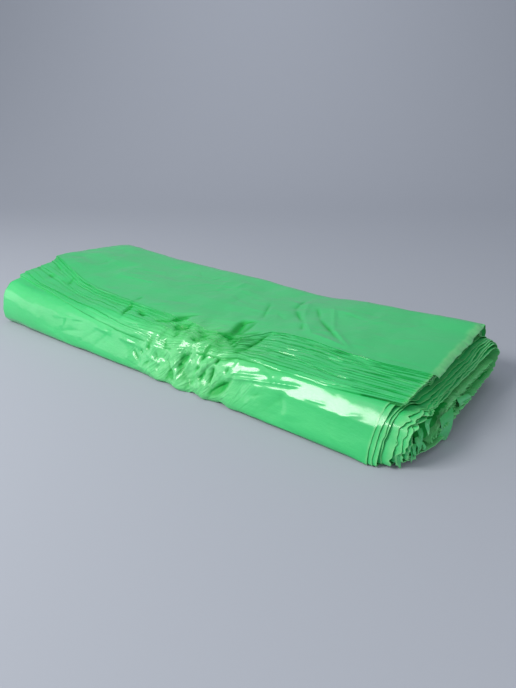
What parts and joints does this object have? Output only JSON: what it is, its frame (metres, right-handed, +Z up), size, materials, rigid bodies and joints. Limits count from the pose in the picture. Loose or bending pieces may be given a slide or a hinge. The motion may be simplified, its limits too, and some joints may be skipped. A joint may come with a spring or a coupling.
{
  "type": "roll of tire storage bags",
  "caption": "Flattened roll of thin plastic film bags, wound together, with a stepped free edge on top and loose layers at the open end.",
  "frame": {"origin": "centre of the roll's bounding box, at the height of the face it lies on", "axes": "+X along the roll towards its open end of loose layers, +Y from the front bend, beside the free edge, to the back bend, +Z up from the face it lies on"},
  "size_m": [0.6095, 0.2505, 0.0721],
  "materials": {
    "film": "thin high-density polythene film in light green, many layers thick, soft gloss"
  },
  "bodies": {
    "root": {"bag_roll": "film"}
  },
  "joints": []
}
